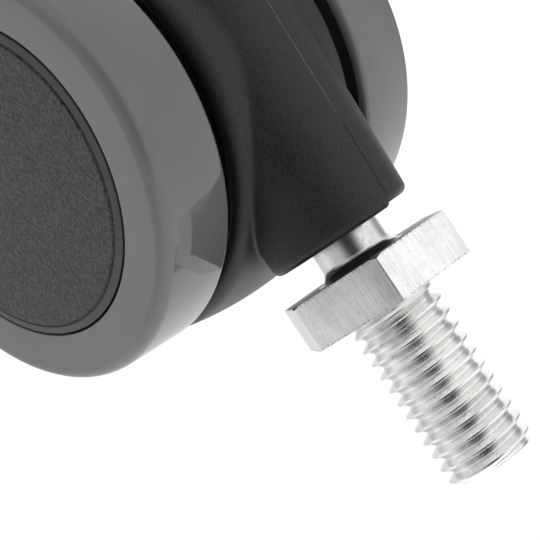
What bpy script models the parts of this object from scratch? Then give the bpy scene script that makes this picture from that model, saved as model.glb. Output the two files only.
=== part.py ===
"""Twin-wheel furniture caster, 35 mm, with a threaded swivel stem.

Frame: the origin is the centre of the stem's end face, on the swivel axis.
+Z is up along the stem, +X runs from the stem to the axle (the trail), and
Y is along the axle. All sizes are in millimetres, scaled to metres by MM.
"""

from math import cos, pi, radians, sin, sqrt, tan

import bmesh
import bpy
from mathutils import Matrix, Vector

MM = 0.001

# Clearances between neighbouring pieces.
GAP = 0.2
FACE_GAP = 0.3

# Threaded stud, M8 coarse.
THREAD_LENGTH = 15.2
THREAD_RADIUS = 3.94
THREAD_PITCH = 1.25
THREAD_DEPTH = 0.72
THREAD_STEPS = 16
LEAD_CHAMFER = 0.48
BLANK_RADIUS = 3.6
RUN_OUT_LENGTH = 1.3
ROOT_FILLET_RADIUS = 4.05

# Hexagonal collar.
HEX_FLATS = 14.0
HEX_HEIGHT = 3.9
HEX_CORNER_ANGLE = -142.4
HEX_CHAMFER_RADIUS = 7.8

# Swivel journal under the collar.
JOURNAL_RADIUS = 3.0
NECK_FILLET = 1.0
BOSS_CLEARANCE = 2.5
JOURNAL_IN_BOSS = 16.5
GROOVE_RADIUS = 2.4
GROOVE_WIDTH = 1.0
GROOVE_FROM_END = 2.5
CLIP_RADIUS = 3.7
CLIP_THICKNESS = 0.7
CLIP_OPENING = 50.0

# Housing boss and socket.
BOSS_RADIUS = 6.3
BOSS_TAPER = 0.0445
BOSS_BOTTOM = -45.9
BOSS_EDGE = 0.4
BUSH_WALL = 0.85
BUSH_LENGTH = 11.5
THRUST_PAD_THICKNESS = 0.9

# Axle position from the stem axis and from the collar's seat.
TRAIL = 12.5
SEAT_TO_AXLE = 24.9

# Housing drum between the wheels.
DRUM_HALF_WIDTH = 7.4
DRUM_CROWN_RADIUS = 18.4
DRUM_EDGE_RADIUS = 17.7
DRUM_WALL = 1.9
DRUM_FROM = -5.0
DRUM_TO = 205.0
DRUM_WEB_HALF = 1.5
RIB_OUTER = 12.2
RIB_INNER = 10.6
HOUSING_HUB_RADIUS = 6.8

# Axle and what rides on it, stacked outwards from the housing along Y.
AXLE_RADIUS = 2.5
AXLE_HALF_LENGTH = 15.0
SLEEVE_WALL = 0.65
WASHER_THICKNESS = 0.6
WASHER_RADIUS = 5.0
HUB_START = 8.4
HUB_LENGTH = 4.8
NUT_THICKNESS = 0.6
NUT_RADIUS = 4.6

# Wheels.
TREAD_INNER_FACE = 9.05
TREAD_OUTER_FACE = 16.3
TREAD_RADIUS = 17.75
TREAD_OUTER_RADIUS = 17.45
TREAD_SHOULDER = 1.3
TREAD_BORE = 15.4
CORE_RADIUS = 15.2
CORE_INNER_FACE = 9.3
CORE_FLANGE_RADIUS = 16.7
CORE_FLANGE_THICKNESS = 0.9
CORE_OUTER_FACE = 15.0
CORE_WEB = 1.7
HUB_RADIUS = 5.3
WHEEL_BUSH_RADIUS = 3.4
CAP_RADIUS = 13.2
CAP_FACE_RADIUS = 12.47
CAP_FACE = 16.43
CAP_BACK = 15.3
CAP_SKIRT = 12.9

TURNED_STEPS = 36
SMALL_STEPS = 24

SEAT_Z = -THREAD_LENGTH
COLLAR_Z = SEAT_Z - HEX_HEIGHT
BOSS_Z = COLLAR_Z - BOSS_CLEARANCE
JOURNAL_END_Z = BOSS_Z - JOURNAL_IN_BOSS
AXLE_Z = SEAT_Z - SEAT_TO_AXLE
AXLE_CENTRE = Vector((TRAIL, 0.0, AXLE_Z))
STEM_CENTRE = Vector((0.0, 0.0, 0.0))

MATERIALS = {
    "zinc_steel": ((0.62, 0.63, 0.64), 0.32, 1.0),
    "spring_steel": ((0.36, 0.35, 0.34), 0.40, 1.0),
    "axle_steel": ((0.55, 0.55, 0.56), 0.28, 1.0),
    "housing_nylon": ((0.035, 0.036, 0.038), 0.55, 0.0),
    "core_nylon": ((0.030, 0.030, 0.032), 0.50, 0.0),
    "cap_nylon": ((0.045, 0.045, 0.047), 0.60, 0.0),
    "grey_tread": ((0.215, 0.218, 0.205), 0.30, 0.0),
    "acetal": ((0.80, 0.79, 0.75), 0.35, 0.0),
}


def clear_scene():
    for obj in list(bpy.data.objects):
        bpy.data.objects.remove(obj, do_unlink=True)


def material(name):
    """The named Principled material, made on first use."""
    found = bpy.data.materials.get(name)
    if found:
        return found
    colour, roughness, metallic = MATERIALS[name]
    made = bpy.data.materials.new(name)
    made.use_nodes = True
    shader = made.node_tree.nodes["Principled BSDF"]
    shader.inputs["Base Color"].default_value = (*colour, 1.0)
    shader.inputs["Roughness"].default_value = roughness
    shader.inputs["Metallic"].default_value = metallic
    made.diffuse_color = (*colour, 1.0)
    return made


def finish(name, bm, centre, look, parent):
    """Close a bmesh held in millimetres about its centre into a placed object."""
    bmesh.ops.remove_doubles(bm, verts=bm.verts, dist=1e-4)
    bmesh.ops.dissolve_degenerate(bm, edges=bm.edges, dist=1e-4)
    bmesh.ops.recalc_face_normals(bm, faces=bm.faces)
    bmesh.ops.transform(bm, matrix=Matrix.Scale(MM, 4), verts=bm.verts)
    mesh = bpy.data.meshes.new(name)
    bm.to_mesh(mesh)
    bm.free()
    mesh.shade_smooth()
    mesh.set_sharp_from_angle(angle=radians(32.0))
    obj = bpy.data.objects.new(name, mesh)
    bpy.context.scene.collection.objects.link(obj)
    obj.location = centre * MM
    if parent is not None:
        obj.parent = parent
        obj.location = centre * MM - parent.location
    if look:
        obj.data.materials.append(material(look))
    return obj


def turned(name, profile, centre, axis, look, parent=None, steps=TURNED_STEPS, span=360.0, start=0.0):
    """A body of revolution. The profile is (radius, distance along the axis), closed."""
    along = Vector((0.0, 0.0, 1.0)) if axis == "Z" else Vector((0.0, 1.0, 0.0))
    out = Vector((cos(radians(start)), sin(radians(start)), 0.0))
    if axis == "Y":
        out = Vector((cos(radians(start)), 0.0, sin(radians(start))))
    turn = radians(span) if axis == "Z" else -radians(span)
    bm = bmesh.new()
    verts = [bm.verts.new(out * radius + along * height) for radius, height in profile]
    edges = [bm.edges.new((verts[i], verts[(i + 1) % len(verts)])) for i in range(len(verts))]
    whole = span >= 360.0
    if not whole:
        bm.faces.new(verts)
    geometry = verts + edges + list(bm.faces)
    bmesh.ops.spin(bm, geom=geometry, cent=(0, 0, 0), axis=along, angle=turn, steps=steps)
    return finish(name, bm, centre, look, parent)


def arc(centre_r, centre_h, radius, start, end, count):
    """Points of a round stretch of a profile, angles in degrees from the radial direction."""
    angles = [radians(start + (end - start) * i / count) for i in range(count + 1)]
    return [(centre_r + radius * cos(a), centre_h + radius * sin(a)) for a in angles]


def ring(inner, outer, low, high):
    """Profile of a plain ring."""
    return [(inner, low), (outer, low), (outer, high), (inner, high)]


def disc(outer, low, high):
    """Profile of a plain solid disc."""
    return ring(0.0, outer, low, high)


def helper(obj):
    obj.hide_render = True
    obj.display_type = "WIRE"
    return obj


def combine(obj, tool, operation):
    """Join, cut or intersect an object with a hidden tool."""
    modifier = obj.modifiers.new(operation.lower(), "BOOLEAN")
    modifier.operation = operation
    modifier.solver = "EXACT"
    modifier.object = helper(tool)
    return obj


def empty(name, centre, parent=None):
    obj = bpy.data.objects.new(name, None)
    bpy.context.scene.collection.objects.link(obj)
    obj.empty_display_size = 5 * MM
    obj.location = centre * MM
    if parent is not None:
        obj.parent = parent
        obj.location = centre * MM - parent.location
    return obj


def thread_form():
    """Fractions of a pitch and radii of the thread's four corners, crest first."""
    flank = THREAD_DEPTH * tan(radians(30.0)) / THREAD_PITCH
    crest = 0.13
    root_radius = THREAD_RADIUS - THREAD_DEPTH
    return [
        (0.0, THREAD_RADIUS),
        (crest, THREAD_RADIUS),
        (crest + flank, root_radius),
        (1.0 - flank, root_radius),
    ]


def helical_stud(name):
    """A right-hand helical thread, longer than the stud, that runs out into the blank at the seat."""
    form = thread_form()
    corners = len(form)
    turns = int(THREAD_LENGTH / THREAD_PITCH) + 2
    rows = corners * turns
    low = SEAT_Z - THREAD_PITCH
    bm = bmesh.new()

    def place(row, column):
        fraction, radius = form[row % corners]
        height = low + THREAD_PITCH * (row // corners + fraction + column / THREAD_STEPS)
        angle = 2 * pi * column / THREAD_STEPS
        rolled = min(1.0, max(0.0, (height - SEAT_Z) / RUN_OUT_LENGTH))
        radius = BLANK_RADIUS + (radius - BLANK_RADIUS) * rolled
        return bm.verts.new((radius * cos(angle), radius * sin(angle), height))

    grid = [[place(row, column) for column in range(THREAD_STEPS)] for row in range(rows + 1)]
    seam = [line[0] for line in grid] + [place(rows + 1 + k, 0) for k in range(corners)]

    def at(row, column):
        return seam[row + corners] if column == THREAD_STEPS else grid[row][column]

    for row in range(rows):
        for column in range(THREAD_STEPS):
            bm.faces.new((at(row, column), at(row, column + 1), at(row + 1, column + 1), at(row + 1, column)))
    bottom = [at(0, c) for c in range(THREAD_STEPS + 1)] + [seam[k] for k in range(corners - 1, 0, -1)]
    top = [at(rows, c) for c in range(THREAD_STEPS + 1)] + [seam[rows + k] for k in range(corners - 1, 0, -1)]
    for loop in (bottom, top):
        middle = bm.verts.new((0.0, 0.0, sum(v.co.z for v in loop) / len(loop)))
        for i, vert in enumerate(loop):
            bm.faces.new((middle, vert, loop[(i + 1) % len(loop)]))
    return finish(name, bm, STEM_CENTRE, None, None)


def hexagon(name):
    bm = bmesh.new()
    across = HEX_FLATS / sqrt(3.0)
    bmesh.ops.create_cone(
        bm, cap_ends=True, segments=6, radius1=across, radius2=across, depth=HEX_HEIGHT
    )
    # The cone's first corner is on +Y, so the turn is taken from there.
    turn = Matrix.Rotation(radians(HEX_CORNER_ANGLE - 90.0), 4, "Z")
    lift = Matrix.Translation((0.0, 0.0, SEAT_Z - HEX_HEIGHT / 2))
    bmesh.ops.transform(bm, matrix=lift @ turn, verts=bm.verts)
    return finish(name, bm, STEM_CENTRE, "zinc_steel", None)


def build_stem(parent):
    """Stud, collar and swivel journal, turned and rolled from one bar."""
    stem = hexagon("stem_pin")
    stem.parent = parent
    corner = HEX_FLATS / sqrt(3.0) + 1.0
    rise = (corner - HEX_CHAMFER_RADIUS) * tan(radians(30.0))
    blank = [
        (0.0, COLLAR_Z),
        (HEX_CHAMFER_RADIUS, COLLAR_Z),
        (corner, COLLAR_Z + rise),
        (corner, SEAT_Z + 1.0),
        (0.0, SEAT_Z + 1.0),
    ]
    combine(stem, turned("collar_blank", blank, STEM_CENTRE, "Z", None), "INTERSECT")

    stud = helical_stud("stud_thread")
    tip_radius = THREAD_RADIUS - LEAD_CHAMFER
    clear_radius = THREAD_RADIUS + 1.0
    tip_cone = [
        (0.0, SEAT_Z - 0.6),
        (clear_radius, SEAT_Z - 0.6),
        (clear_radius, -(clear_radius - tip_radius)),
        (tip_radius, 0.0),
        (0.0, 0.0),
    ]
    combine(stud, turned("stud_blank", tip_cone, STEM_CENTRE, "Z", None), "INTERSECT")
    combine(stem, stud, "UNION")

    below, above = 0.6, 0.9
    root_cone = [
        (0.0, SEAT_Z - below),
        (ROOT_FILLET_RADIUS + below, SEAT_Z - below),
        (ROOT_FILLET_RADIUS - above, SEAT_Z + above),
        (0.0, SEAT_Z + above),
    ]
    combine(stem, turned("root_fillet", root_cone, STEM_CENTRE, "Z", None), "UNION")

    fillet = arc(
        JOURNAL_RADIUS + NECK_FILLET, COLLAR_Z - NECK_FILLET, NECK_FILLET, 90.0, 180.0, 4
    )
    groove_low = JOURNAL_END_Z + GROOVE_FROM_END
    journal = [(0.0, COLLAR_Z + 1.0), (JOURNAL_RADIUS + NECK_FILLET, COLLAR_Z + 1.0)]
    journal += fillet
    journal += [
        (JOURNAL_RADIUS, groove_low + GROOVE_WIDTH),
        (GROOVE_RADIUS, groove_low + GROOVE_WIDTH),
        (GROOVE_RADIUS, groove_low),
        (JOURNAL_RADIUS, groove_low),
        (JOURNAL_RADIUS, JOURNAL_END_Z + 0.5),
        (JOURNAL_RADIUS - 0.6, JOURNAL_END_Z),
        (0.0, JOURNAL_END_Z),
    ]
    pin = turned("journal", journal, STEM_CENTRE, "Z", None, steps=SMALL_STEPS)
    combine(stem, pin, "UNION")

    clip_low = groove_low + (GROOVE_WIDTH - CLIP_THICKNESS) / 2
    clip = ring(GROOVE_RADIUS + GAP, CLIP_RADIUS, clip_low, clip_low + CLIP_THICKNESS)
    turned(
        "stem_retaining_clip",
        clip,
        STEM_CENTRE,
        "Z",
        "spring_steel",
        parent,
        steps=SMALL_STEPS,
        span=360.0 - CLIP_OPENING,
        start=CLIP_OPENING / 2,
    )


def drum_shell_profile():
    """Crowned outer wall of the drum, as (radius, Y)."""
    stations = [-1.0, -0.94, -0.6, -0.3, 0.0, 0.3, 0.6, 0.94, 1.0]
    fall = DRUM_CROWN_RADIUS - DRUM_EDGE_RADIUS
    outer = []
    for s in stations:
        edge = 0.3 if abs(s) == 1.0 else 0.0
        outer.append((DRUM_CROWN_RADIUS - fall * s * s - edge, s * DRUM_HALF_WIDTH))
    inner = DRUM_EDGE_RADIUS - DRUM_WALL
    return outer + [(inner, DRUM_HALF_WIDTH), (inner, -DRUM_HALF_WIDTH)]


def build_housing(parent):
    """Drum shell, web, ring rib, hub and tapered boss, moulded in one."""
    span = DRUM_TO - DRUM_FROM
    housing = turned(
        "housing", drum_shell_profile(), AXLE_CENTRE, "Y", "housing_nylon", parent, 36, span, DRUM_FROM
    )
    web_edge = DRUM_EDGE_RADIUS - DRUM_WALL / 2
    web = ring(RIB_OUTER - 0.6, web_edge, -DRUM_WEB_HALF, DRUM_WEB_HALF)
    first = DRUM_FROM + 0.4
    combine(
        housing, turned("web", web, AXLE_CENTRE, "Y", None, None, 34, span - 0.8, first), "UNION"
    )
    half = DRUM_HALF_WIDTH
    rib = [
        (0.0, -half),
        (HOUSING_HUB_RADIUS, -half),
        (HOUSING_HUB_RADIUS, -DRUM_WEB_HALF + 0.1),
        (RIB_INNER, -DRUM_WEB_HALF + 0.1),
        (RIB_INNER, -half + 0.4),
        (RIB_OUTER, -half + 0.4),
        (RIB_OUTER, half - 0.4),
        (RIB_INNER, half - 0.4),
        (RIB_INNER, DRUM_WEB_HALF - 0.1),
        (HOUSING_HUB_RADIUS, DRUM_WEB_HALF - 0.1),
        (HOUSING_HUB_RADIUS, half),
        (0.0, half),
    ]
    combine(housing, turned("hub_and_rib", rib, AXLE_CENTRE, "Y", None), "UNION")

    depth = BOSS_Z - BOSS_BOTTOM
    boss = [
        (0.0, BOSS_Z),
        (BOSS_RADIUS - BOSS_EDGE, BOSS_Z),
        (BOSS_RADIUS, BOSS_Z - BOSS_EDGE),
        (BOSS_RADIUS + BOSS_TAPER * (depth - 1.0), BOSS_BOTTOM + 1.0),
        (BOSS_RADIUS + BOSS_TAPER * depth - 1.0, BOSS_BOTTOM),
        (0.0, BOSS_BOTTOM),
    ]
    combine(housing, turned("boss", boss, STEM_CENTRE, "Z", None), "UNION")

    bore = AXLE_RADIUS + GAP + SLEEVE_WALL + GAP
    combine(
        housing, turned("axle_bore", disc(bore, -12.0, 12.0), AXLE_CENTRE, "Y", None, steps=SMALL_STEPS),
        "DIFFERENCE",
    )
    combine(housing, stem_socket(), "DIFFERENCE")
    return housing


def bush_radii():
    inner = JOURNAL_RADIUS + GAP
    return inner, inner + BUSH_WALL


def stem_socket():
    """Stepped blind socket for the bush, the clip and the thrust pad."""
    _, bush_outer = bush_radii()
    bush_low = BOSS_Z - GAP - BUSH_LENGTH
    plain = JOURNAL_RADIUS + GAP
    clip_low = JOURNAL_END_Z + GROOVE_FROM_END - FACE_GAP
    clip_high = clip_low + GROOVE_WIDTH + 2 * FACE_GAP
    floor = JOURNAL_END_Z - 2 * FACE_GAP - THRUST_PAD_THICKNESS
    steps = [
        (0.0, BOSS_Z + 2.0),
        (bush_outer + GAP, BOSS_Z + 2.0),
        (bush_outer + GAP, bush_low - FACE_GAP),
        (plain, bush_low - FACE_GAP),
        (plain, clip_high),
        (CLIP_RADIUS + GAP, clip_high),
        (CLIP_RADIUS + GAP, clip_low),
        (plain, clip_low),
        (plain, floor),
        (0.0, floor),
    ]
    return turned("stem_socket", steps, STEM_CENTRE, "Z", None, steps=SMALL_STEPS)


def build_socket_pieces(parent):
    inner, outer = bush_radii()
    top = BOSS_Z - GAP
    sleeve = ring(inner, outer, top - BUSH_LENGTH, top)
    turned("stem_bush", sleeve, STEM_CENTRE, "Z", "acetal", parent, SMALL_STEPS)
    pad_top = JOURNAL_END_Z - FACE_GAP
    pad = disc(JOURNAL_RADIUS, pad_top - THRUST_PAD_THICKNESS, pad_top)
    turned("stem_thrust_pad", pad, STEM_CENTRE, "Z", "acetal", parent, SMALL_STEPS)


def build_axle_pieces(parent):
    half = AXLE_HALF_LENGTH
    chamfer = 0.4
    pin = [
        (0.0, -half),
        (AXLE_RADIUS - chamfer, -half),
        (AXLE_RADIUS, -half + chamfer),
        (AXLE_RADIUS, half - chamfer),
        (AXLE_RADIUS - chamfer, half),
        (0.0, half),
    ]
    turned("axle", pin, AXLE_CENTRE, "Y", "axle_steel", parent, SMALL_STEPS)
    inner = AXLE_RADIUS + GAP
    tube = ring(inner, inner + SLEEVE_WALL, -DRUM_HALF_WIDTH, DRUM_HALF_WIDTH)
    turned("axle_sleeve", tube, AXLE_CENTRE, "Y", "axle_steel", parent, SMALL_STEPS)
    for side, sign in (("left", -1.0), ("right", 1.0)):
        inner_washer = HUB_START - GAP - WASHER_THICKNESS
        outer_washer = HUB_START + HUB_LENGTH + GAP
        nut = outer_washer + WASHER_THICKNESS + GAP
        washer = ring(inner, WASHER_RADIUS, 0.0, WASHER_THICKNESS)
        dish = 0.3
        dished = [
            (inner - 0.05, dish),
            (NUT_RADIUS * 0.7, 0.0),
            (NUT_RADIUS, 0.0),
            (NUT_RADIUS, NUT_THICKNESS - dish),
            (NUT_RADIUS * 0.7, NUT_THICKNESS - dish),
            (inner - 0.05, NUT_THICKNESS),
        ]
        pieces = (
            ("inner_washer", washer, inner_washer, "acetal"),
            ("outer_washer", washer, outer_washer, "acetal"),
            ("push_nut", dished, nut, "spring_steel"),
        )
        for name, profile, start, look in pieces:
            placed = [(radius, sign * (start + height)) for radius, height in profile]
            turned(f"{name}_{side}", placed, AXLE_CENTRE, "Y", look, parent, SMALL_STEPS)


def tread_profile():
    """Moulded tread, wrapped over the rim from its inner flange to the cap."""
    shoulder = TREAD_SHOULDER
    corner = arc(
        TREAD_OUTER_RADIUS - shoulder, TREAD_OUTER_FACE - shoulder, shoulder, 0.0, 90.0, 5
    )
    lip_bore = CORE_FLANGE_RADIUS + GAP
    flange_top = CORE_INNER_FACE + CORE_FLANGE_THICKNESS
    return [
        (TREAD_BORE, flange_top + GAP),
        (lip_bore, flange_top + GAP),
        (lip_bore, TREAD_INNER_FACE),
        (TREAD_RADIUS - 0.25, TREAD_INNER_FACE),
        (TREAD_RADIUS, TREAD_INNER_FACE + 0.3),
        *corner,
        (CAP_RADIUS + GAP, TREAD_OUTER_FACE - 0.1),
        (CAP_RADIUS + GAP, CORE_OUTER_FACE + GAP),
        (TREAD_BORE, CORE_OUTER_FACE + GAP),
    ]


def core_profile():
    """Rim with an inner flange, web with a ring rib, and hub of the wheel core."""
    web_top = CORE_INNER_FACE + CORE_WEB
    pocket_rib = (8.4, 9.8)
    rim_bore = CAP_SKIRT + GAP
    hub_end = HUB_START + HUB_LENGTH
    return [
        (WHEEL_BUSH_RADIUS + GAP, HUB_START),
        (HUB_RADIUS, HUB_START),
        (HUB_RADIUS, CORE_INNER_FACE),
        (CORE_FLANGE_RADIUS, CORE_INNER_FACE),
        (CORE_FLANGE_RADIUS, CORE_INNER_FACE + CORE_FLANGE_THICKNESS),
        (CORE_RADIUS, CORE_INNER_FACE + CORE_FLANGE_THICKNESS),
        (CORE_RADIUS, CORE_OUTER_FACE),
        (rim_bore, CORE_OUTER_FACE),
        (rim_bore, web_top),
        (pocket_rib[1], web_top),
        (pocket_rib[1], CORE_OUTER_FACE - 0.6),
        (pocket_rib[0], CORE_OUTER_FACE - 0.6),
        (pocket_rib[0], web_top),
        (HUB_RADIUS, web_top),
        (HUB_RADIUS, hub_end),
        (WHEEL_BUSH_RADIUS + GAP, hub_end),
    ]


def cap_profile():
    """Snap-in cap: flat face with a bevelled border, and a skirt behind it."""
    bevel_foot = CAP_FACE - 0.25
    return [
        (0.0, CAP_BACK),
        (CAP_SKIRT - 0.7, CAP_BACK),
        (CAP_SKIRT - 0.7, CAP_BACK - 1.8),
        (CAP_SKIRT, CAP_BACK - 1.8),
        (CAP_SKIRT, CAP_BACK),
        (CAP_RADIUS, CAP_BACK),
        (CAP_RADIUS, bevel_foot),
        (CAP_FACE_RADIUS, CAP_FACE),
        (0.0, CAP_FACE),
    ]


def build_wheel(side, sign, parent):
    bush = ring(AXLE_RADIUS + 0.1, WHEEL_BUSH_RADIUS, HUB_START, HUB_START + HUB_LENGTH)
    pieces = (
        ("wheel_core", core_profile(), "core_nylon", TURNED_STEPS),
        ("tread", tread_profile(), "grey_tread", TURNED_STEPS),
        ("wheel_cap", cap_profile(), "cap_nylon", TURNED_STEPS),
        ("wheel_bush", bush, "acetal", SMALL_STEPS),
    )
    for name, profile, look, steps in pieces:
        placed = [(radius, sign * height) for radius, height in profile]
        turned(f"{name}_{side}", placed, AXLE_CENTRE, "Y", look, parent, steps)


def main():
    clear_scene()
    stem_joint = empty("stem_axis", STEM_CENTRE)
    swivel = empty("swivel_axis", STEM_CENTRE, stem_joint)
    build_stem(stem_joint)
    build_housing(swivel)
    build_socket_pieces(swivel)
    build_axle_pieces(swivel)
    for side, sign in (("left", -1.0), ("right", 1.0)):
        spin = empty(f"wheel_axis_{side}", AXLE_CENTRE, swivel)
        build_wheel(side, sign, spin)


main()
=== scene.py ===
"""Looks for the twin-wheel furniture caster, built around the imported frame.

Every outline below is in millimetres in the row frame: the origin is the centre of the
stem's end face, +Z runs up the stem, +X from the stem to the axle, Y along the axle.
"""

from math import cos, pi, radians, sin, sqrt, tan

import bmesh
import bpy
import numpy as np
from mathutils import Matrix, Vector


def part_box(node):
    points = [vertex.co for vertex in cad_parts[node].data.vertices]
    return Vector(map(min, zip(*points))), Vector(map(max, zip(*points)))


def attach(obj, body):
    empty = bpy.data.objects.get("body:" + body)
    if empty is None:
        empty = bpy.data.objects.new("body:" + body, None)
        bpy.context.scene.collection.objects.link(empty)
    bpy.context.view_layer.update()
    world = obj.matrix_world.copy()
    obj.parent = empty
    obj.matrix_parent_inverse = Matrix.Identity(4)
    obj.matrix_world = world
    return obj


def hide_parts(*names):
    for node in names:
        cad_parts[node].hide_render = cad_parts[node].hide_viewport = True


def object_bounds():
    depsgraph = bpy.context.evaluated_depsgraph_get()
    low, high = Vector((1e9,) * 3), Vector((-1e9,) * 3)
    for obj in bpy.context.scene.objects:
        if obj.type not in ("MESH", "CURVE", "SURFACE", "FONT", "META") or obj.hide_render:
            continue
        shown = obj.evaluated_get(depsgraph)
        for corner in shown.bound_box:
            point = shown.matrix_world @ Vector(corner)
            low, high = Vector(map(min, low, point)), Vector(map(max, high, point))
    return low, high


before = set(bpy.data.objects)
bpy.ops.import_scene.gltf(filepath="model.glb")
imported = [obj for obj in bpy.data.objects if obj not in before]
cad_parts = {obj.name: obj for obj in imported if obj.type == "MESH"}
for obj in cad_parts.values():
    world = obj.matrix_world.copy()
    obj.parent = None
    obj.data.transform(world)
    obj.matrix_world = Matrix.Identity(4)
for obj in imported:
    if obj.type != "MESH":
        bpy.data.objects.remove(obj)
CAD_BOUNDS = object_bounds()

MM = 0.001
HAIRLINE = 0.002


# ---------------------------------------------------------------- sizes read from the frame


def node_box(name):
    """Lowest and highest corner of a CAD node, in millimetres."""
    low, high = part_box(name)
    return np.array(low) / MM, np.array(high) / MM


TREAD_LOW, TREAD_HIGH = node_box("tread_right")
CAP_FACE = node_box("wheel_cap_right")[1][1]
BOSS_Z = node_box("housing")[1][2]

AXLE_X = (TREAD_LOW[0] + TREAD_HIGH[0]) / 2
AXLE_Z = (TREAD_LOW[2] + TREAD_HIGH[2]) / 2
AXLE_CENTRE = np.array((AXLE_X, 0.0, AXLE_Z))
STEM_CENTRE = np.zeros(3)

# ---------------------------------------------------------------- sizes that follow the CAD, some eased

THREAD_RADIUS = 3.94
THREAD_PITCH = 1.25
THREAD_DEPTH = 0.74
BLANK_RADIUS = 3.6
RUN_OUT_LENGTH = 1.3
ROOT_FILLET_RADIUS = 4.05
HEX_FLATS = 14.0
HEX_HEIGHT = 3.9
HEX_CORNER_ANGLE = -142.4
HEX_CHAMFER_RADIUS = 7.8
LEAD_CHAMFER = 0.48
COLLAR_Z = BOSS_Z + 2.5
SEAT_Z = COLLAR_Z + HEX_HEIGHT
THREAD_LENGTH = -SEAT_Z
JOURNAL_RADIUS = 3.0
JOURNAL_END_Z = BOSS_Z - 16.5
NECK_FILLET = 1.0
GROOVE_RADIUS = 2.4
GROOVE_Z = JOURNAL_END_Z + 2.5
GROOVE_WIDTH = 1.0

BUSH_TOP = BOSS_Z - 0.2
BUSH_BOTTOM = BOSS_Z - 11.7
PAD_TOP = JOURNAL_END_Z - 0.3
PAD_BOTTOM = JOURNAL_END_Z - 1.2
SOCKET_STEP_Z = BOSS_Z - 12.0
SOCKET_FLOOR_Z = BOSS_Z - 18.0
CLIP_Z = BOSS_Z - 13.5

BOSS_RADIUS = 6.3
BOSS_TAPER = 0.0445
BOSS_BOTTOM = BOSS_Z - 24.3
DRUM_HALF_WIDTH = 7.4
DRUM_CROWN_RADIUS = 18.4
DRUM_EDGE_RADIUS = 17.7
DRUM_BORE = 15.8
DRUM_EDGE_ROUND = 1.15
MOULD_STEP = 0.26
FLASH_FROM = BOSS_Z - 7.0
FLASH_TO = BOSS_Z - 11.0
DRUM_FROM = -5.0
DRUM_TO = 205.0

TREAD_RADIUS = (TREAD_HIGH[2] - TREAD_LOW[2]) / 2
TREAD_INNER_FACE = TREAD_LOW[1]
TREAD_OUTER_FACE = TREAD_HIGH[1]
TREAD_OUTER_RADIUS = 17.6
CAP_RADIUS = 13.2
CAP_FACE_RADIUS = 12.47

SIDES = (("left", -1.0), ("right", 1.0))


# ---------------------------------------------------------------- node materials


class Nodes:
    """A short way to write a node tree."""

    def __init__(self, tree):
        self.tree = tree
        tree.nodes.clear()

    def add(self, kind, **values):
        node = self.tree.nodes.new(kind)
        for key, value in values.items():
            if hasattr(node, key):
                setattr(node, key, value)
            else:
                node.inputs[key.replace("_", " ")].default_value = value
        return node

    def link(self, source, target):
        self.tree.links.new(source, target)
        return target

    def math(self, operation, first, second=None, third=None, clamp=False):
        node = self.tree.nodes.new("ShaderNodeMath")
        node.operation = operation
        node.use_clamp = clamp
        for socket, value in zip(node.inputs, (first, second, third)):
            if value is None:
                continue
            if isinstance(value, (int, float)):
                socket.default_value = value
            else:
                self.link(value, socket)
        return node.outputs[0]

    def noise(self, vector, scale, detail=4.0, roughness=0.55, distortion=0.0):
        node = self.tree.nodes.new("ShaderNodeTexNoise")
        node.inputs["Scale"].default_value = scale
        node.inputs["Detail"].default_value = detail
        node.inputs["Roughness"].default_value = roughness
        node.inputs["Distortion"].default_value = distortion
        self.link(vector, node.inputs["Vector"])
        return node.outputs["Fac"]

    def cells(self, vector, scale, feature="F1", randomness=1.0):
        node = self.tree.nodes.new("ShaderNodeTexVoronoi")
        node.feature = feature
        node.inputs["Scale"].default_value = scale
        node.inputs["Randomness"].default_value = randomness
        self.link(vector, node.inputs["Vector"])
        return node.outputs["Distance"]

    def remap(self, value, from_low, from_high, to_low, to_high):
        node = self.tree.nodes.new("ShaderNodeMapRange")
        for name, number in (
            ("From Min", from_low),
            ("From Max", from_high),
            ("To Min", to_low),
            ("To Max", to_high),
        ):
            node.inputs[name].default_value = number
        self.link(value, node.inputs["Value"])
        return node.outputs["Result"]

    def mix(self, factor, first, second):
        node = self.tree.nodes.new("ShaderNodeMix")
        node.data_type = "RGBA"
        self.link(factor, node.inputs["Factor"])
        for socket, value in ((node.inputs[6], first), (node.inputs[7], second)):
            if isinstance(value, tuple):
                socket.default_value = (*value, 1.0)
            else:
                self.link(value, socket)
        return node.outputs[2]

    def bump(self, height, strength, distance, normal=None):
        node = self.tree.nodes.new("ShaderNodeBump")
        node.inputs["Strength"].default_value = strength
        node.inputs["Distance"].default_value = distance
        self.link(height, node.inputs["Height"])
        if normal is not None:
            self.link(normal, node.inputs["Normal"])
        return node.outputs["Normal"]

    def scaled(self, vector, scale):
        node = self.tree.nodes.new("ShaderNodeMapping")
        node.inputs["Scale"].default_value = scale
        self.link(vector, node.inputs["Vector"])
        return node.outputs["Vector"]


def new_material(name):
    """(material, node writer, shader, position in metres in the row frame)."""
    material = bpy.data.materials.new(name)
    material.use_nodes = True
    nodes = Nodes(material.node_tree)
    output = nodes.add("ShaderNodeOutputMaterial")
    shader = nodes.add("ShaderNodeBsdfPrincipled")
    nodes.link(shader.outputs["BSDF"], output.inputs["Surface"])
    place = nodes.add("ShaderNodeTexCoord").outputs["Object"]
    return material, nodes, shader, place


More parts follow.
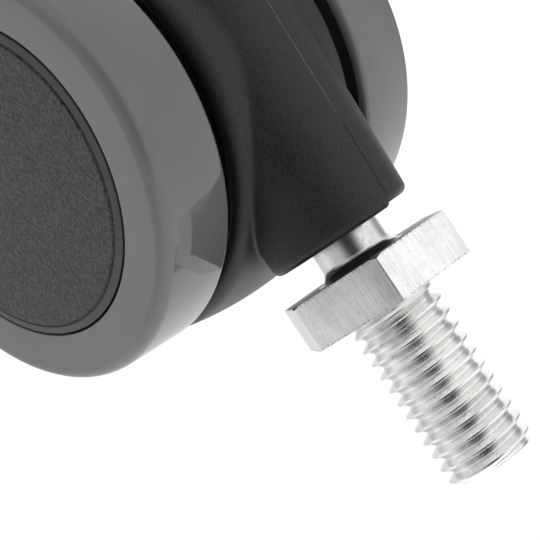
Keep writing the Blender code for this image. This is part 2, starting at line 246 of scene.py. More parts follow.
def tread_material():
    """Glossy grey polyurethane: faint mottling, fine scuffs and dust."""
    material, n, shader, place = new_material("grey_tread")
    cloud = n.noise(place, 120.0, 3.0)
    speck = n.remap(n.cells(place, 1500.0), 0.0, 0.10, 1.0, 0.0)
    scatter = n.remap(n.noise(place, 700.0, 2.0), 0.62, 0.70, 0.0, 1.0)
    dust = n.math("MULTIPLY", speck, scatter, clamp=True)
    colour = n.mix(n.remap(cloud, 0.3, 0.7, 0.0, 1.0), (0.087, 0.089, 0.084), (0.097, 0.099, 0.093))
    colour = n.mix(n.math("MULTIPLY", dust, 0.35), colour, (0.26, 0.26, 0.25))
    n.link(colour, shader.inputs["Base Color"])
    scuff = n.noise(n.scaled(place, (1.0, 0.25, 1.0)), 900.0, 5.0, 0.7)
    rough = n.remap(scuff, 0.35, 0.75, 0.04, 0.08)
    n.link(n.math("ADD", rough, n.math("MULTIPLY", dust, 0.25)), shader.inputs["Roughness"])
    ripple = n.noise(place, 260.0, 2.0)
    normal = n.bump(ripple, 0.14, 0.00004)
    normal = n.bump(scuff, 0.10, 0.00001, normal)
    n.link(normal, shader.inputs["Normal"])
    shader.inputs["Specular IOR Level"].default_value = 0.5
    shader.inputs["IOR"].default_value = 1.5
    return material


def nylon_material(name, dark, light, rough, grain=1.0, seam=False):
    """Moulded black nylon with a fine spark-eroded grain and a little pale dust, and, with seam, a parting
    line: a flash ridge with a painted glint and a shut-line groove with painted shade.
    """
    material, n, shader, place = new_material(name)
    cloud = n.noise(place, 160.0, 4.0, 0.6)
    speck = n.remap(n.cells(place, 1300.0), 0.0, 0.09, 1.0, 0.0)
    scatter = n.remap(n.noise(place, 420.0, 2.0), 0.60, 0.68, 0.0, 1.0)
    dust = n.math("MULTIPLY", speck, scatter, clamp=True)
    colour = n.mix(n.remap(cloud, 0.3, 0.7, 0.0, 1.0), dark, light)
    colour = n.mix(n.math("MULTIPLY", dust, 0.55), colour, (0.30, 0.30, 0.29))
    fine = n.noise(place, 6800.0, 3.0, 0.65)
    pale = tuple(c + 0.008 for c in light)
    colour = n.mix(n.remap(fine, 0.44, 0.62, 0.0, 1.0), colour, pale)
    shader.inputs["Specular IOR Level"].default_value = 0.33
    coarse = n.noise(place, 1900.0, 2.0, 0.5)
    relief = n.math("ADD", fine, n.math("MULTIPLY", coarse, 0.7))
    normal = n.bump(relief, 0.8 * grain, 0.00003)
    if seam:
        split = n.add("ShaderNodeSeparateXYZ")
        n.link(place, split.inputs[0])
        wander = n.math("MULTIPLY", n.math("SUBTRACT", n.noise(place, 300.0, 2.0), 0.5), 0.00006)
        off = n.math("ABSOLUTE", n.math("ADD", split.outputs["Y"], wander))
        line = n.remap(off, 0.00003, 0.00011, 1.0, 0.0)
        ragged = n.remap(n.noise(place, 2400.0, 3.0, 0.7), 0.35, 0.60, 0.2, 1.0)
        below = n.remap(split.outputs["Z"], FLASH_FROM * MM, FLASH_TO * MM, 0.0, 1.0)
        flash_ridge_and_painted_glint = n.math("MULTIPLY", n.math("MULTIPLY", line, ragged), below)
        shut_groove_and_painted_shade = n.math("MULTIPLY", line, n.math("SUBTRACT", 1.0, below))
        height = n.math("SUBTRACT", n.math("MULTIPLY", flash_ridge_and_painted_glint, 1.6), shut_groove_and_painted_shade)
        normal = n.bump(height, 1.0, 0.00007, normal)
        # Painted shade: the shut-line groove is also coloured darker to stand for the shade inside it.
        colour = n.mix(n.math("MULTIPLY", shut_groove_and_painted_shade, 0.6), colour, (0.003, 0.003, 0.003))
        # Painted highlight: the flash ridge is also coloured pale grey to stand for the glints it catches.
        colour = n.mix(n.math("MULTIPLY", flash_ridge_and_painted_glint, 0.8), colour, (0.12, 0.12, 0.118))
    n.link(colour, shader.inputs["Base Color"])
    n.link(normal, shader.inputs["Normal"])
    n.link(n.remap(cloud, 0.25, 0.75, rough - 0.05, rough + 0.05), shader.inputs["Roughness"])
    return material


def cap_grain_material():
    """Leather-grain face of the cap: fine cells over a rolling, combed surface."""
    material, n, shader, place = new_material("cap_grain")
    stretched = n.scaled(place, (1.0, 1.0, 0.72))
    warp = n.noise(place, 900.0, 2.0)
    creases = n.noise(stretched, 4200.0, 2.0, 0.5, 0.9)
    cells = n.cells(stretched, 4600.0)
    relief = n.math("ADD", n.math("MULTIPLY", creases, 1.3), n.math("MULTIPLY", cells, 0.35))
    colour = n.mix(n.remap(relief, 0.62, 1.05, 0.0, 1.0), (0.001, 0.001, 0.001), (0.042, 0.042, 0.040))
    n.link(colour, shader.inputs["Base Color"])
    n.link(n.remap(warp, 0.3, 0.7, 0.42, 0.52), shader.inputs["Roughness"])
    n.link(n.bump(relief, 1.0, 0.00018), shader.inputs["Normal"])
    return material


def metal_material(name, tone, rough, stretch, line_scale, line_depth, stain=0.0, spin=False, burrs=()):
    """Plated or bright steel with directional tool marks, pits and dull patches."""
    material, n, shader, place = new_material(name)
    shader.inputs["Metallic"].default_value = 1.0
    cloud = n.noise(place, 420.0, 4.0, 0.6)
    if spin:
        split = n.add("ShaderNodeSeparateXYZ")
        n.link(place, split.inputs[0])
        radius = n.math("POWER", split.outputs["X"], 2.0)
        radius = n.math("SQRT", n.math("ADD", radius, n.math("POWER", split.outputs["Y"], 2.0)))
        join = n.add("ShaderNodeCombineXYZ")
        n.link(radius, join.inputs[0])
        n.link(n.math("MULTIPLY", split.outputs["Z"], stretch[2]), join.inputs[2])
        lines = n.noise(join.outputs[0], line_scale, 4.0, 0.65)
    else:
        lines = n.noise(n.scaled(place, stretch), line_scale, 5.0, 0.65)
    pit_mask = n.remap(n.noise(place, 900.0, 2.0), 0.47, 0.57, 0.0, 1.0)
    pits = n.math("MULTIPLY", n.remap(n.cells(place, 4200.0), 0.05, 0.28, 1.0, 0.0), pit_mask, clamp=True)
    bright = tuple(min(1.0, c * 1.06) for c in tone)
    dull = tuple(c * 0.86 for c in tone)
    colour = n.mix(n.remap(cloud, 0.3, 0.7, 0.0, 1.0), dull, bright)
    colour = n.mix(n.math("MULTIPLY", pits, 0.8), colour, tuple(c * 0.30 for c in tone))
    if stain:
        colour = n.mix(n.remap(lines, 0.40, 0.55, stain, 0.0), colour, tuple(c * 0.55 for c in tone))
    if burrs:
        height = n.add("ShaderNodeSeparateXYZ")
        n.link(place, height.inputs[0])
        ragged = n.remap(n.noise(place, 5200.0, 3.0, 0.7), 0.46, 0.62, 0.0, 1.0)
        for edge in burrs:
            off = n.math("ABSOLUTE", n.math("SUBTRACT", height.outputs["Z"], edge * MM))
            band = n.math("MULTIPLY", n.remap(off, 0.00006, 0.00022, 1.0, 0.0), ragged, clamp=True)
            colour = n.mix(n.math("MULTIPLY", band, 0.8), colour, tuple(c * 0.22 for c in tone))
    n.link(colour, shader.inputs["Base Color"])
    n.link(n.remap(cloud, 0.25, 0.75, rough - 0.05, rough + 0.07), shader.inputs["Roughness"])
    normal = n.bump(lines, line_depth, 0.00003)
    normal = n.bump(n.math("MULTIPLY", pits, -1.0), 0.5, 0.00002, normal)
    n.link(normal, shader.inputs["Normal"])
    return material


def acetal_material():
    """Black acetal, slightly waxy."""
    material, n, shader, place = new_material("acetal")
    cloud = n.noise(place, 300.0, 3.0)
    colour = n.mix(cloud, (0.020, 0.020, 0.020), (0.032, 0.032, 0.031))
    n.link(colour, shader.inputs["Base Color"])
    n.link(n.remap(cloud, 0.3, 0.7, 0.30, 0.42), shader.inputs["Roughness"])
    n.link(n.bump(n.noise(place, 3500.0, 3.0), 0.2, 0.00002), shader.inputs["Normal"])
    return material


def make_materials():
    zinc = (0.66, 0.66, 0.65)
    return {
        "tread": tread_material(),
        "housing": nylon_material(
            "housing_nylon", (0.003, 0.003, 0.003), (0.007, 0.007, 0.007), 0.46, seam=True
        ),
        "core": nylon_material("core_nylon", (0.010, 0.010, 0.010), (0.016, 0.016, 0.016), 0.50),
        "cap_border": nylon_material("cap_border", (0.028, 0.028, 0.027), (0.036, 0.036, 0.035), 0.40, 0.4),
        "cap_grain": cap_grain_material(),
        "thread": metal_material(
            "zinc_thread", (0.79, 0.79, 0.78), 0.16, (1.0, 1.0, 9.0), 1100.0, 0.40, stain=0.12
        ),
        "turned": metal_material("zinc_turned", zinc, 0.20, (0.3, 0.3, 8.0), 900.0, 0.30, 0.0),
        "hex_sides": metal_material(
            "zinc_drawn", (0.88, 0.88, 0.87), 0.30, (1.0, 1.0, 0.05), 8000.0, 0.6, 0.32,
            burrs=(COLLAR_Z, SEAT_Z),
        ),
        "hex_faces": metal_material("zinc_faced", zinc, 0.38, (1.0, 1.0, 1.0), 3600.0, 0.5, 0.0, True),
        "spring": metal_material("spring_steel", (0.42, 0.41, 0.40), 0.38, (1.0, 1.0, 1.0), 2500.0, 0.3),
        "axle": metal_material("axle_steel", (0.62, 0.62, 0.63), 0.26, (1.0, 0.05, 1.0), 3000.0, 0.3),
        "acetal": acetal_material(),
    }


# ---------------------------------------------------------------- mesh building


def place_mesh(name, bm, body, replaced, slot, materials, sharp=30.0, choose=None):
    """Turn a bmesh in millimetres into a smooth piece that rides on a CAD body."""
    bmesh.ops.remove_doubles(bm, verts=bm.verts, dist=1e-4)
    bmesh.ops.recalc_face_normals(bm, faces=bm.faces)
    bmesh.ops.transform(bm, matrix=Matrix.Scale(MM, 4), verts=bm.verts)
    mesh = bpy.data.meshes.new(name)
    bm.to_mesh(mesh)
    bm.free()
    return finish_piece(name, mesh, body, replaced, materials, sharp, choose)


def finish_piece(name, mesh, body, replaced, materials, sharp=30.0, choose=None):
    for material in materials:
        mesh.materials.append(material)
    if choose is not None:
        for polygon in mesh.polygons:
            polygon.material_index = choose(polygon.center / MM, polygon.normal)
    mesh.shade_smooth()
    mesh.set_sharp_from_angle(angle=radians(sharp))
    obj = bpy.data.objects.new(name, mesh)
    bpy.context.scene.collection.objects.link(obj)
    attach(obj, body)
    if replaced:
        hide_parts(*replaced)
    return obj


def arc(radius_at, height_at, radius, start, end, count):
    angles = [radians(start + (end - start) * i / count) for i in range(count + 1)]
    return [(radius_at + radius * cos(a), height_at + radius * sin(a)) for a in angles]


def rounded(profile, radius, steps=4):
    """The profile with every corner rounded, less where a side is short."""
    points = [np.array(p, float) for p in profile]
    count = len(points)
    out = []
    for i, corner in enumerate(points):
        before, after = points[i - 1], points[(i + 1) % count]
        if corner[0] < 1e-6:
            out.append(tuple(corner))
            continue
        to_before, to_after = before - corner, after - corner
        length_before, length_after = np.linalg.norm(to_before), np.linalg.norm(to_after)
        to_before, to_after = to_before / length_before, to_after / length_after
        turn = np.arccos(np.clip(-to_before @ to_after, -1.0, 1.0))
        if turn < radians(8.0):
            out.append(tuple(corner))
            continue
        cut = min(radius * tan(turn / 2), 0.42 * length_before, 0.42 * length_after)
        start, end = corner + to_before * cut, corner + to_after * cut
        for k in range(steps + 1):
            t = k / steps
            out.append(tuple((1 - t) ** 2 * start + 2 * t * (1 - t) * corner + t * t * end))
    return out


def revolve(bm, profile, axis, centre, steps):
    """Revolve a closed (radius, height) profile right round an axis through centre."""
    rings = []
    for radius, height in profile:
        ring = []
        turns = 1 if radius < 1e-6 else steps
        for k in range(turns):
            a = 2 * pi * k / steps
            out = (cos(a), sin(a))
            if axis == "Z":
                point = (radius * out[0], radius * out[1], height)
            else:
                point = (radius * out[0], height, radius * out[1])
            ring.append(bm.verts.new(np.array(point) + centre))
        rings.append(ring)
    for i, ring in enumerate(rings):
        other = rings[(i + 1) % len(rings)]
        if len(ring) == 1 and len(other) == 1:
            continue
        for k in range(steps):
            corners = [ring[k % len(ring)], ring[(k + 1) % len(ring)]]
            corners += [other[(k + 1) % len(other)], other[k % len(other)]]
            unique = list(dict.fromkeys(corners))
            if len(unique) > 2:
                bm.faces.new(unique)


def turned_piece(name, profile, axis, centre, body, slot, materials, round_by=0.1, steps=96, **more):
    bm = bmesh.new()
    revolve(bm, rounded(profile, round_by), axis, centre, steps)
    return place_mesh(name, bm, body, more.pop("replaced", (name,)), slot, materials, **more)


def temporary(name, bm):
    """A mesh object in millimetres, for a Boolean."""
    bmesh.ops.remove_doubles(bm, verts=bm.verts, dist=1e-5)
    bmesh.ops.recalc_face_normals(bm, faces=bm.faces)
    mesh = bpy.data.meshes.new(name)
    bm.to_mesh(mesh)
    bm.free()
    obj = bpy.data.objects.new(name, mesh)
    bpy.context.scene.collection.objects.link(obj)
    return obj


def evaluated_mesh(obj):
    graph = bpy.context.evaluated_depsgraph_get()
    return bpy.data.meshes.new_from_object(obj.evaluated_get(graph), depsgraph=graph)


def boolean(obj, tool, operation):
    """Apply a Boolean to a temporary object and delete the tool."""
    modifier = obj.modifiers.new("join", "BOOLEAN")
    modifier.operation = operation
    modifier.solver = "EXACT"
    modifier.object = tool
    made = evaluated_mesh(obj)
    obj.modifiers.clear()
    obj.data = made
    bpy.data.objects.remove(tool)
    return obj


def weld(mesh, distance):
    """Close the hairline edges that Booleans leave, which a stored mesh would tear open."""
    bm = bmesh.new()
    bm.from_mesh(mesh)
    bmesh.ops.remove_doubles(bm, verts=bm.verts, dist=distance)
    bmesh.ops.dissolve_degenerate(bm, edges=bm.edges, dist=distance / 2)
    bm.to_mesh(mesh)
    bm.free()


def revolved_tool(name, profile, steps=96):
    bm = bmesh.new()
    revolve(bm, profile, "Z", STEM_CENTRE, steps)
    return temporary(name, bm)


# ---------------------------------------------------------------- stem


def thread_form():
    """(fraction of a pitch, radius) round one turn, with a soft crest and a rounded root."""
    root = THREAD_RADIUS - THREAD_DEPTH
    crest_half = 0.07
    root_half = 0.10
    form = [(-crest_half, THREAD_RADIUS - 0.02), (0.0, THREAD_RADIUS), (crest_half, THREAD_RADIUS - 0.02)]
    form += [(0.5 - root_half, root + 0.05), (0.5, root), (0.5 + root_half, root + 0.05)]
    return form


def helical_stud(steps=96):
    form = thread_form()
    corners = len(form)
    turns = int(THREAD_LENGTH / THREAD_PITCH) + 2
    rows = corners * turns
    low = SEAT_Z - THREAD_PITCH
    bm = bmesh.new()

    def place(row, column):
        fraction, radius = form[row % corners]
        height = low + THREAD_PITCH * (row // corners + fraction + column / steps)
        angle = 2 * pi * column / steps
        worn = 0.012 * sin(3.1 * angle + 2.3 * height) * sin(7.0 * angle - 4.7 * height)
        if row % corners in (0, 1, 2):
            radius += worn
        rolled = min(1.0, max(0.0, (height - SEAT_Z) / RUN_OUT_LENGTH))
        radius = BLANK_RADIUS + (radius - BLANK_RADIUS) * rolled
        return bm.verts.new((radius * cos(angle), radius * sin(angle), height))

    grid = [[place(row, column) for column in range(steps)] for row in range(rows + 1)]
    seam = [line[0] for line in grid] + [place(rows + 1 + k, 0) for k in range(corners)]

    def at(row, column):
        return seam[row + corners] if column == steps else grid[row][column]

    for row in range(rows):
        for column in range(steps):
            bm.faces.new((at(row, column), at(row, column + 1), at(row + 1, column + 1), at(row + 1, column)))
    bottom = [at(0, c) for c in range(steps + 1)] + [seam[k] for k in range(corners - 1, 0, -1)]
    top = [at(rows, c) for c in range(steps + 1)] + [seam[rows + k] for k in range(corners - 1, 0, -1)]
    for loop in (bottom, top):
        middle = bm.verts.new((0.0, 0.0, sum(v.co.z for v in loop) / len(loop)))
        for i, vert in enumerate(loop):
            bm.faces.new((middle, vert, loop[(i + 1) % len(loop)]))
    return temporary("stud", bm)


def build_stem(looks):
    across = HEX_FLATS / sqrt(3.0)
    bm = bmesh.new()
    bmesh.ops.create_cone(bm, cap_ends=True, segments=6, radius1=across, radius2=across, depth=HEX_HEIGHT)
    # The cone's first corner is on +Y, so the turn is taken from there.
    turn = Matrix.Rotation(radians(HEX_CORNER_ANGLE - 90.0), 4, "Z")
    lift = Matrix.Translation((0.0, 0.0, SEAT_Z - HEX_HEIGHT / 2))
    bmesh.ops.transform(bm, matrix=lift @ turn, verts=bm.verts)
    uprights = [e for e in bm.edges if abs(e.verts[0].co.z - e.verts[1].co.z) > 1.0]
    bmesh.ops.bevel(bm, geom=uprights, offset=0.09, segments=2, affect="EDGES", profile=0.5)
    stem = temporary("stem", bm)

    corner = across + 1.0
    start = HEX_CHAMFER_RADIUS
    blank = [
        (0.0, COLLAR_Z),
        (start, COLLAR_Z),
        (corner, COLLAR_Z + (corner - start) * tan(radians(30.0))),
        (corner, SEAT_Z + 1.0),
        (0.0, SEAT_Z + 1.0),
    ]
    boolean(stem, revolved_tool("blank", blank, steps=144), "INTERSECT")

    neck = JOURNAL_RADIUS + NECK_FILLET
    fillet = arc(neck, COLLAR_Z - NECK_FILLET, NECK_FILLET, 90.0, 180.0, 10)
    journal = [(0.0, COLLAR_Z + 1.0), (neck, COLLAR_Z + 1.0), *fillet]
    journal += [
        (JOURNAL_RADIUS, GROOVE_Z + GROOVE_WIDTH),
        (GROOVE_RADIUS, GROOVE_Z + GROOVE_WIDTH),
        (GROOVE_RADIUS, GROOVE_Z),
        (JOURNAL_RADIUS, GROOVE_Z),
        (JOURNAL_RADIUS, JOURNAL_END_Z + 0.5),
        (JOURNAL_RADIUS - 0.6, JOURNAL_END_Z),
        (0.0, JOURNAL_END_Z),
    ]
    boolean(stem, revolved_tool("journal", journal), "UNION")

    below, above = 0.6, 0.9
    root_cone = [
        (0.0, SEAT_Z - below),
        (ROOT_FILLET_RADIUS + below, SEAT_Z - below),
        (ROOT_FILLET_RADIUS - above, SEAT_Z + above),
        (0.0, SEAT_Z + above),
    ]
    boolean(stem, revolved_tool("root", root_cone), "UNION")

    stud = helical_stud()
    clear = THREAD_RADIUS + 1.0
    tip = THREAD_RADIUS - LEAD_CHAMFER
    buried = SEAT_Z - 0.47
    cone = [
        (0.0, buried),
        (clear, buried),
        (clear, tip - clear),
        (tip + 0.06, -0.06),
        (tip - 0.02, 0.0),
        (0.0, 0.0),
    ]
    # An odd count keeps the tool's corners off the thread's own.
    boolean(stud, revolved_tool("cone", cone, steps=101), "INTERSECT")
    boolean(stem, stud, "UNION")

    mesh = stem.data
    weld(mesh, HAIRLINE)
    mesh.transform(Matrix.Scale(MM, 4))
    bpy.data.objects.remove(stem)

    def choose(centre, normal):
        if COLLAR_Z - 0.01 < centre.z < SEAT_Z + 0.01 and centre.xy.length > JOURNAL_RADIUS + 1.0:
            return 1 if abs(normal.z) < 0.3 else 2
        return 3 if centre.z < COLLAR_Z else 0

    parts = [looks["thread"], looks["hex_sides"], looks["hex_faces"], looks["turned"]]
    return finish_piece("stem", mesh, "stem", ("stem_pin",), parts, 34.0, choose)


# ---------------------------------------------------------------- housing


def smooth_union(a, b, k):
    h = np.clip(0.5 + 0.5 * (b - a) / k, 0.0, 1.0)
    return b + (a - b) * h - k * h * (1.0 - h)


def slab(distances, k):
    """Intersection of several half-spaces with rounded edges."""
    out = distances[0]
    for d in distances[1:]:
        out = -smooth_union(-out, -d, k)
    return out


def housing_distance(p):
    """Signed distance to the housing, near enough for its surface, in millimetres."""
    x, y, z = p[:, 0], p[:, 1], p[:, 2]
    along, up = x - AXLE_X, z - AXLE_Z
    r = np.hypot(along, up)

    crown = DRUM_CROWN_RADIUS - (DRUM_CROWN_RADIUS - DRUM_EDGE_RADIUS) * (y / DRUM_HALF_WIDTH) ** 2
    side = np.abs(y) - DRUM_HALF_WIDTH
    front = radians(DRUM_TO)
    back = radians(DRUM_FROM)
    past_front = along * sin(front) - up * cos(front)
    past_back = -along * sin(back) + up * cos(back)
    low_front = -past_front
    low_back = -past_back
    sector = np.where(along < 0, low_front, low_back)
    shell = slab([r - crown, side, DRUM_BORE - r, sector], DRUM_EDGE_ROUND)
    web = slab([r - 16.6, np.abs(y) - 1.5, 11.6 - r, sector], 0.3)
    rib = slab([r - 12.2, 10.6 - r, np.abs(y) - 7.0], 0.4)
    hub = slab([r - 6.8, np.abs(y) - DRUM_HALF_WIDTH], 0.4)
    floor = slab([r - 12.0, np.abs(y) - 1.4], 0.3)

    rho = np.hypot(x, y)
    cone = (rho - (BOSS_RADIUS + BOSS_TAPER * (BOSS_Z - z))) * 0.999
    low_half = MOULD_STEP * np.clip(0.5 + y / 0.12, 0.0, 1.0)
    boss = slab([cone, z - BOSS_Z + low_half], 0.75)
    boss = slab([boss, BOSS_BOTTOM - z], 1.4)

    inside = smooth_union(smooth_union(web, floor, 0.4), smooth_union(rib, hub, 0.4), 0.5)
    body = smooth_union(shell, inside, 0.5)
    body = smooth_union(body, boss, 0.25)

    axle_bore = 3.55 - r
    body = slab([body, axle_bore], 0.25)
    socket = np.minimum(
        np.maximum(rho - 4.25, SOCKET_STEP_Z - z),
        np.maximum(rho - 3.2, SOCKET_FLOOR_Z - z),
    )
    clip = np.maximum(rho - 3.9, np.abs(z - CLIP_Z) - 0.8)
    socket = np.minimum(socket, clip)
    return slab([body, -socket], 0.3)


def gradient(field, p, h=0.01):
    out = np.empty_like(p)
    for axis in range(3):
        step = np.zeros(3)
        step[axis] = h
        out[:, axis] = (field(p + step) - field(p - step)) / (2 * h)
    return out


def settle(field, points, rounds=7, reach=0.25):
    """Move points onto the zero surface of a field, never further than reach at a time."""
    for _ in range(rounds):
        value = field(points)
        slope = gradient(field, points)
        size = np.maximum((slope**2).sum(axis=1), 0.05)
        move = np.clip(value / size, -reach, reach)
        points = points - move[:, None] * slope
    return points


def remeshed(node, voxel):
    """A copy of a CAD node's mesh as an even grid of quads."""
    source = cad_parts[node]
    copy = bpy.data.objects.new("remesh", source.data.copy())
    copy.data.materials.clear()
    bpy.context.scene.collection.objects.link(copy)
    modifier = copy.modifiers.new("even", "REMESH")
    modifier.mode = "VOXEL"
    modifier.voxel_size = voxel * MM
    mesh = evaluated_mesh(copy)
    bpy.data.objects.remove(copy)
    return mesh


def build_housing(looks):
    mesh = remeshed("housing", 0.22)
    count = len(mesh.vertices)
    flat = np.empty(count * 3, np.float64)
    mesh.vertices.foreach_get("co", flat)
    points = settle(housing_distance, flat.reshape(-1, 3) / MM)
    mesh.vertices.foreach_set("co", (points * MM).reshape(-1))
    mesh.update()
    return finish_piece(
        "housing_shell", mesh, "swivel_housing", ("housing",), [looks["housing"]], 60.0
    )


# ---------------------------------------------------------------- wheels and small pieces


def tread_profile():
    shoulder = 1.15
    corner = arc(TREAD_OUTER_RADIUS - shoulder, TREAD_OUTER_FACE - shoulder, shoulder, 4.0, 86.0, 10)
    lip = 0.55
    inner_edge = arc(TREAD_RADIUS - lip, TREAD_INNER_FACE + lip, lip, -90.0, 0.0, 8)
    return [
        (15.4, 10.4),
        (16.9, 10.4),
        (16.9, TREAD_INNER_FACE),
        *inner_edge,
        *corner,
        (CAP_RADIUS + 0.2, TREAD_OUTER_FACE - 0.1),
        (CAP_RADIUS + 0.2, 15.2),
        (15.4, 15.2),
    ]


def core_profile():
    return [
        (3.6, 8.4),
        (5.3, 8.4),
        (5.3, 9.3),
        (16.7, 9.3),
        (16.7, 10.2),
        (15.2, 10.2),
        (15.2, 15.0),
        (13.1, 15.0),
        (13.1, 11.0),
        (9.8, 11.0),
        (9.8, 14.4),
        (8.4, 14.4),
        (8.4, 11.0),
        (5.3, 11.0),
        (5.3, 13.2),
        (3.6, 13.2),
    ]


def cap_profile():
    foot = CAP_FACE - 0.25
    return [
        (0.0, 15.3),
        (12.2, 15.3),
        (12.2, 13.5),
        (12.9, 13.5),
        (12.9, 15.3),
        (CAP_RADIUS, 15.3),
        (CAP_RADIUS, foot),
        (CAP_FACE_RADIUS + 0.10, foot + 0.13),
        (CAP_FACE_RADIUS + 0.04, foot + 0.02),
        (CAP_FACE_RADIUS - 0.04, foot + 0.02),
        (CAP_FACE_RADIUS - 0.14, CAP_FACE),
        (0.0, CAP_FACE),
    ]


def mirrored(profile, sign):
    return [(radius, sign * height) for radius, height in profile]


def build_wheels(looks):
    for side, sign in SIDES:
        body = f"wheel_{side}"
        turned_piece(
            f"tread_{side}_moulded", mirrored(tread_profile(), sign), "Y", AXLE_CENTRE, body,
            "grey_tread", [looks["tread"]], 0.12, 240, replaced=(f"tread_{side}",), sharp=50.0,
        )
        turned_piece(
            f"core_{side}_moulded", mirrored(core_profile(), sign), "Y", AXLE_CENTRE, body,
            "core_nylon", [looks["core"]], 0.15, 144, replaced=(f"wheel_core_{side}",), sharp=50.0,
        )

        def on_face(centre, normal, sign=sign):
            radius = sqrt((centre.x - AXLE_X) ** 2 + (centre.z - AXLE_Z) ** 2)
            return 1 if radius < CAP_FACE_RADIUS - 0.02 and normal.y * sign > 0.2 else 0

        turned_piece(
            f"cap_{side}_moulded", mirrored(cap_profile(), sign), "Y", AXLE_CENTRE, body,
            "cap_nylon", [looks["cap_border"], looks["cap_grain"]], 0.05, 240,
            replaced=(f"wheel_cap_{side}",), sharp=40.0, choose=on_face,
        )


def build_small_pieces(looks):
    """Finer stand-ins for the bushes, washers, nuts and axle. The clip keeps its CAD mesh."""
    axle = [(0.0, -15.0), (2.1, -15.0), (2.5, -14.6), (2.5, 14.6), (2.1, 15.0), (0.0, 15.0)]
    housing = "swivel_housing"
    turned_piece(
        "axle_pin", axle, "Y", AXLE_CENTRE, housing, "axle_steel", [looks["axle"]], replaced=("axle",)
    )
    sleeve = [(2.7, -7.4), (3.35, -7.4), (3.35, 7.4), (2.7, 7.4)]
    turned_piece(
        "axle_tube", sleeve, "Y", AXLE_CENTRE, housing, "axle_steel", [looks["axle"]],
        replaced=("axle_sleeve",),
    )
    bush = [(3.2, BUSH_BOTTOM), (4.05, BUSH_BOTTOM), (4.05, BUSH_TOP), (3.2, BUSH_TOP)]
    turned_piece(
        "socket_bush", bush, "Z", STEM_CENTRE, housing, "acetal", [looks["acetal"]], replaced=("stem_bush",)
    )
    pad = [(0.0, PAD_BOTTOM), (3.0, PAD_BOTTOM), (3.0, PAD_TOP), (0.0, PAD_TOP)]
    turned_piece(
        "socket_pad", pad, "Z", STEM_CENTRE, housing, "acetal", [looks["acetal"]],
        replaced=("stem_thrust_pad",),
    )
    washer = [(2.7, 0.0), (5.0, 0.0), (5.0, 0.6), (2.7, 0.6)]
    nut = [(2.65, 0.3), (3.2, 0.0), (4.6, 0.0), (4.6, 0.3), (3.2, 0.3), (2.65, 0.6)]
    wheel_bush = [(2.6, 8.4), (3.4, 8.4), (3.4, 13.2), (2.6, 13.2)]
    for side, sign in SIDES:
        for name, profile, start, look, slot in (
            ("inner_washer", washer, 7.6, "acetal", "acetal"),
            ("outer_washer", washer, 13.4, "acetal", "acetal"),
            ("push_nut", nut, 14.2, "spring", "spring_steel"),
        ):
            placed = mirrored([(r, start + h) for r, h in profile], sign)
            turned_piece(
                f"{name}_{side}_fine", placed, "Y", AXLE_CENTRE, housing, slot, [looks[look]], 0.06,
                replaced=(f"{name}_{side}",),
            )
        turned_piece(
            f"hub_bush_{side}", mirrored(wheel_bush, sign), "Y", AXLE_CENTRE, f"wheel_{side}", "acetal",
            [looks["acetal"]], 0.08, replaced=(f"wheel_bush_{side}",),
        )
    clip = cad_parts["stem_retaining_clip"]
    clip.data.materials.clear()
    clip.data.materials.append(looks["spring"])


# ---------------------------------------------------------------- stage, light and camera


def build_camera():
    """The photograph's view: beside the stem, from the swivel side, rolled stem-down."""
    right = Vector((-0.56119, 0.61439, 0.5546))
    down = Vector((0.36921, -0.41388, 0.8321))
    ahead = Vector((0.74077, 0.67173, 0.00542))
    data = bpy.data.cameras.new("camera")
    data.sensor_width = 36.0
    data.lens = 95.588
    data.clip_start = 0.005
    data.clip_end = 10.0
    camera = bpy.data.objects.new("camera", data)
    bpy.context.scene.collection.objects.link(camera)
    turn = Matrix((right, -down, -ahead)).transposed()
    place = Vector((-80.58, -81.728, BOSS_Z - 1.594)) * MM
    camera.matrix_world = Matrix.Translation(place) @ turn.to_4x4()
    bpy.context.scene.camera = camera


FLOOR_GLOW = 0.12


def build_floor():
    material, n, shader, place = new_material("floor_paint")
    cloud = n.noise(place, 6.0, 3.0)
    n.link(n.mix(cloud, (0.95, 0.95, 0.95), (0.97, 0.97, 0.97)), shader.inputs["Base Color"])
    shader.inputs["Roughness"].default_value = 0.7
    shader.inputs["Emission Color"].default_value = (1.0, 1.0, 1.0, 1.0)
    shader.inputs["Emission Strength"].default_value = FLOOR_GLOW
    bm = bmesh.new()
    bmesh.ops.create_grid(bm, x_segments=4, y_segments=4, size=2.5)
    mesh = bpy.data.meshes.new("floor")
    bm.to_mesh(mesh)
    bm.free()
    mesh.materials.append(material)
    floor = bpy.data.objects.new("floor", mesh)
    floor.location = (0.0, 0.0, CAD_BOUNDS[0].z)
    floor.visible_glossy = False
    bpy.context.scene.collection.objects.link(floor)


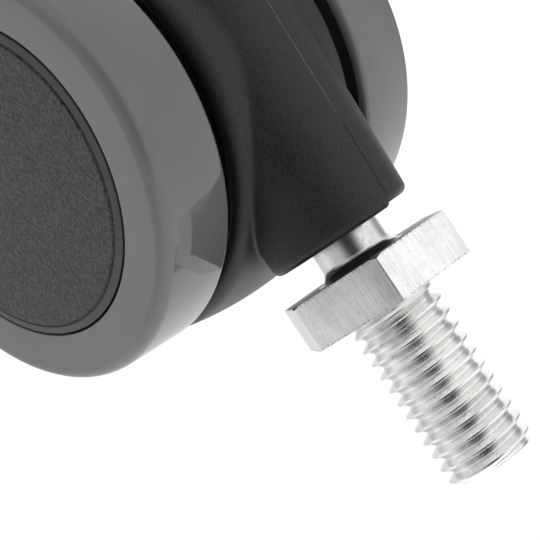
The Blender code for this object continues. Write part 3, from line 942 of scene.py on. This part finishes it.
# Soft regions of the tent: azimuth, elevation, radius and edge width in degrees, and their gain.
TENT_LEVEL = 1.22
ZENITH_GAIN = 1.35
BACKDROP_LEVEL = 1.05
TENT = (
    (-135.0, 0.0, 12.0, 28.0, 0.04),
    (-95.0, 0.0, 20.0, 35.0, 0.55),
    (98.0, 0.0, 5.0, 25.0, 0.38),
    (12.0, 0.0, 15.0, 30.0, 0.70),
)


def world_direction(n, sky, azimuth, elevation):
    """How far the world direction is from a given one, as a cosine."""
    aim = (
        cos(radians(elevation)) * cos(radians(azimuth)),
        cos(radians(elevation)) * sin(radians(azimuth)),
        sin(radians(elevation)),
    )
    dot = n.tree.nodes.new("ShaderNodeVectorMath")
    dot.operation = "DOT_PRODUCT"
    dot.inputs[1].default_value = aim
    n.link(sky, dot.inputs[0])
    return dot.outputs["Value"]


def build_light():
    """A white tent, brightest overhead, with a dark opening on one side and three dimmer panels."""
    world = bpy.data.worlds.new("studio")
    world.use_nodes = True
    n = Nodes(world.node_tree)
    output = n.add("ShaderNodeOutputWorld")
    back = n.add("ShaderNodeBackground")
    sky = n.add("ShaderNodeTexCoord").outputs["Generated"]
    level = n.remap(world_direction(n, sky, 0.0, 90.0), 0.2, 1.0, TENT_LEVEL, TENT_LEVEL * ZENITH_GAIN)
    for azimuth, elevation, reach, soft, gain in TENT:
        near = n.remap(
            world_direction(n, sky, azimuth, elevation),
            cos(radians(reach + soft)),
            cos(radians(reach)),
            0.0,
            1.0,
        )
        level = n.math("MULTIPLY", level, n.remap(near, 0.0, 1.0, 1.0, gain))
    seen = n.add("ShaderNodeLightPath").outputs["Is Camera Ray"]
    level = n.math("MAXIMUM", level, n.math("MULTIPLY", seen, BACKDROP_LEVEL))
    n.link(level, back.inputs["Strength"])
    back.inputs["Color"].default_value = (1.0, 1.0, 1.0, 1.0)
    n.link(back.outputs[0], output.inputs["Surface"])
    bpy.context.scene.world = world
    bpy.context.scene.view_settings.view_transform = "Standard"


def main():
    looks = make_materials()
    build_camera()
    build_floor()
    build_light()
    build_stem(looks)
    build_housing(looks)
    build_wheels(looks)
    build_small_pieces(looks)


main()
